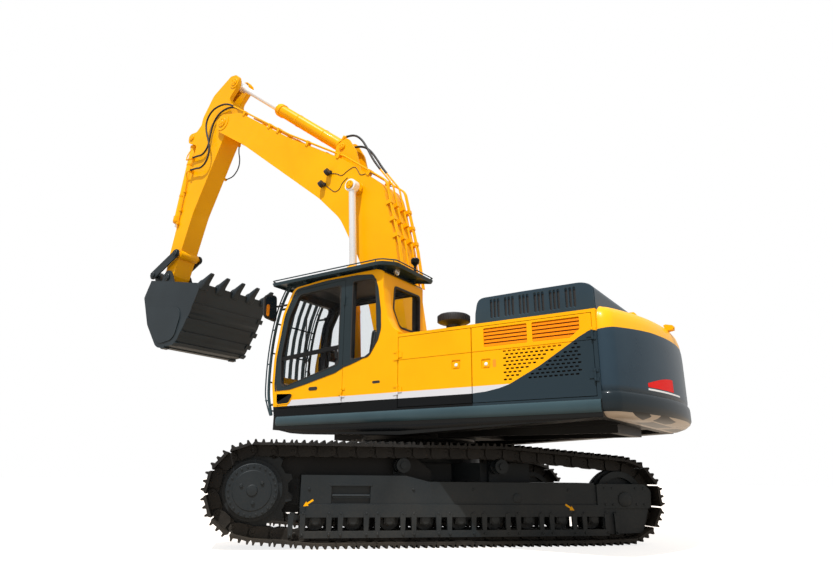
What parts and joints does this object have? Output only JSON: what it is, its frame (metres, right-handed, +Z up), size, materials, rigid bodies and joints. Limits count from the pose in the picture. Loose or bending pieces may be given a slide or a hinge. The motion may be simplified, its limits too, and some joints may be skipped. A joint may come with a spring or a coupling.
{
  "type": "crawler excavator",
  "caption": "Crawler excavator with twin tracks, a slewing house and cab, and a raised boom, arm and curled bucket moved by hydraulic cylinders.",
  "frame": {"origin": "on the ground under the middle of the whole machine's box; the slew axis is 1.442 m behind it", "axes": "+X forward along the boom, +Y to the operator's left, +Z up; the tracks stand turned 45.46 degrees to the left of +X, as in the picture"},
  "size_m": [9.9027, 6.1206, 8.735],
  "materials": {
    "yellow_paint": "glossy",
    "slate_paint": "satin",
    "black_paint": "satin",
    "track_steel": "rough",
    "rod_chrome": "polished",
    "window_glass": "clear",
    "seat_fabric": "woven",
    "black_plastic": "matte",
    "lamp_amber": "glossy",
    "hose_rubber": "matte"
  },
  "bodies": {
    "undercarriage": {"car_body": "slate_paint", "slew_ring": "black_paint", "track_frame_left": "slate_paint", "track_frame_right": "slate_paint", "track_loop_left": "track_steel", "track_loop_right": "track_steel", "sprocket_left": "slate_paint", "sprocket_right": "slate_paint", "idler_left": "slate_paint", "idler_right": "slate_paint", "rollers_left": "slate_paint", "rollers_right": "slate_paint"},
    "house": {"main_frame": "black_paint", "counterweight": "slate_paint", "house_panels": "yellow_paint", "engine_block": "black_paint", "tanks": "yellow_paint", "tool_box": "yellow_paint", "precleaner": "black_plastic", "exhaust": "black_paint", "handrails": "yellow_paint", "cab_shell": "yellow_paint", "cab_windows": "window_glass", "roof_visor": "black_paint", "front_guard": "black_paint", "operator_seat": "seat_fabric", "mirrors": "black_plastic", "beacon": "lamp_amber"},
    "cab_door": {"cab_door": "yellow_paint", "door_window": "window_glass"},
    "left_front_door": {"side_door_left_front": "yellow_paint"},
    "left_rear_door": {"side_door_left_rear": "yellow_paint"},
    "right_rear_door": {"side_door_right_rear": "yellow_paint"},
    "hood": {"engine_hood": "slate_paint"},
    "boom": {"boom": "yellow_paint", "boom_pipes": "yellow_paint", "work_lamps": "black_plastic", "jumper_hose_upper": "hose_rubber", "jumper_hose_lower": "hose_rubber", "jumper_hose_loop": "hose_rubber", "hump_hose_left": "hose_rubber", "hump_hose_right": "hose_rubber"},
    "lift_tube_left": {"boom_cylinder_left": "yellow_paint"},
    "lift_tube_right": {"boom_cylinder_right": "yellow_paint"},
    "lift_rod_left": {"boom_rod_left": "rod_chrome"},
    "lift_rod_right": {"boom_rod_right": "rod_chrome"},
    "crowd_tube": {"arm_cylinder": "yellow_paint"},
    "crowd_rod": {"arm_rod": "rod_chrome"},
    "arm": {"arm": "yellow_paint"},
    "tilt_tube": {"bucket_cylinder": "yellow_paint"},
    "tilt_rod": {"bucket_rod": "rod_chrome"},
    "rocker": {"rocker": "slate_paint"},
    "bucket_link": {"bucket_link": "slate_paint"},
    "bucket": {"bucket": "slate_paint", "bucket_teeth": "black_paint"}
  },
  "joints": [
    {"name": "swing", "type": "hinge", "parent": "undercarriage", "child": "house", "pos_m": [-1.4415, 0, 1.18], "axis": [0, 0, 1], "continuous": true},
    {"name": "boom_raise", "type": "hinge", "parent": "house", "child": "boom", "pos_m": [-1.2345, 0, 2.072], "axis": [0, -1, 0], "range_deg": [-88, 6]},
    {"name": "arm_crowd", "type": "hinge", "parent": "boom", "child": "arm", "pos_m": [3.1845, 0, 7.593], "axis": [0, 1, 0], "range_deg": [-85, 22], "deforming": ["jumper_hose_upper", "jumper_hose_lower", "jumper_hose_loop"]},
    {"name": "bucket_curl", "type": "hinge", "parent": "arm", "child": "bucket", "pos_m": [4.4285, 0, 4.49], "axis": [0, 1, 0], "range_deg": [-130, 25]},
    {"name": "boom_cylinder_tilt_left", "type": "hinge", "parent": "house", "child": "lift_tube_left", "pos_m": [-0.6615, 0.435, 1.5], "axis": [0, -1, 0], "range_deg": [-91.38, 8.36]},
    {"name": "boom_rod_slide_left", "type": "slide", "parent": "lift_tube_left", "child": "lift_rod_left", "axis": [0.0599, 0, 0.9982], "range_m": [-1.1333, 0.0866]},
    {"name": "boom_cylinder_tilt_right", "type": "hinge", "parent": "house", "child": "lift_tube_right", "pos_m": [-0.6615, -0.435, 1.5], "axis": [0, -1, 0], "range_deg": [-91.38, 8.36]},
    {"name": "boom_rod_slide_right", "type": "slide", "parent": "lift_tube_right", "child": "lift_rod_right", "axis": [0.0599, 0, 0.9982], "range_m": [-1.1333, 0.0866]},
    {"name": "arm_cylinder_tilt", "type": "hinge", "parent": "boom", "child": "crowd_tube", "pos_m": [0.0655, 0, 6.171], "axis": [0, 1, 0], "range_deg": [-0.74, 1.37], "deforming": ["hump_hose_left", "hump_hose_right"]},
    {"name": "arm_rod_slide", "type": "slide", "parent": "crowd_tube", "child": "crowd_rod", "axis": [0.7821, 0, 0.6232], "range_m": [-1.2071, 0.3198]},
    {"name": "bucket_cylinder_tilt", "type": "hinge", "parent": "arm", "child": "tilt_tube", "pos_m": [4.3385, 0, 7.66], "axis": [0, 1, 0], "range_deg": [-0.84, 2.13]},
    {"name": "bucket_rod_slide", "type": "slide", "parent": "tilt_tube", "child": "tilt_rod", "axis": [0.1639, 0, -0.9865], "range_m": [-0.9849, 0.1975]},
    {"name": "rocker_turn", "type": "hinge", "parent": "arm", "child": "rocker", "pos_m": [4.1885, 0, 4.94], "axis": [0, 1, 0], "range_deg": [-83.86, 17.85]},
    {"name": "link_turn", "type": "hinge", "parent": "rocker", "child": "bucket_link", "pos_m": [4.8485, 0, 4.59], "axis": [0, 1, 0], "range_deg": [-11.86, 55.06]},
    {"name": "cab_door_swing", "type": "hinge", "parent": "house", "child": "cab_door", "pos_m": [-1.2635, 1.4873, 2.3], "axis": [0, 0, 1], "range_deg": [0, 165]},
    {"name": "left_front_door_swing", "type": "hinge", "parent": "house", "child": "left_front_door", "pos_m": [-2.1105, 1.4873, 1.9], "axis": [0, 0, 1], "range_deg": [-120, 0]},
    {"name": "left_rear_door_swing", "type": "hinge", "parent": "house", "child": "left_rear_door", "pos_m": [-4.4585, 1.4873, 1.9], "axis": [0, 0, -1], "range_deg": [-120, 0]},
    {"name": "right_rear_door_swing", "type": "hinge", "parent": "house", "child": "right_rear_door", "pos_m": [-4.4585, -1.4873, 1.9], "axis": [0, 0, 1], "range_deg": [-120, 0]},
    {"name": "hood_lift", "type": "hinge", "parent": "house", "child": "hood", "pos_m": [-4.3895, 0, 2.383], "axis": [0, 1, 0], "range_deg": [-60, 0]}
  ],
  "couplings": [
    {"joint": "boom_cylinder_tilt_left", "follows": "boom_raise", "ratio": 1.0124},
    {"joint": "boom_rod_slide_left", "follows": "boom_raise", "m_per_rad": 0.73138},
    {"joint": "boom_cylinder_tilt_right", "follows": "boom_raise", "ratio": 1.0124},
    {"joint": "boom_rod_slide_right", "follows": "boom_raise", "m_per_rad": 0.73138},
    {"joint": "arm_cylinder_tilt", "follows": "arm_crowd", "ratio": -0.01},
    {"joint": "arm_rod_slide", "follows": "arm_crowd", "m_per_rad": 0.80693},
    {"joint": "bucket_cylinder_tilt", "follows": "bucket_curl", "ratio": -0.012292},
    {"joint": "bucket_rod_slide", "follows": "bucket_curl", "m_per_rad": 0.42968},
    {"joint": "rocker_turn", "follows": "bucket_curl", "ratio": 0.62868},
    {"joint": "link_turn", "follows": "bucket_curl", "ratio": -0.41145}
  ]
}
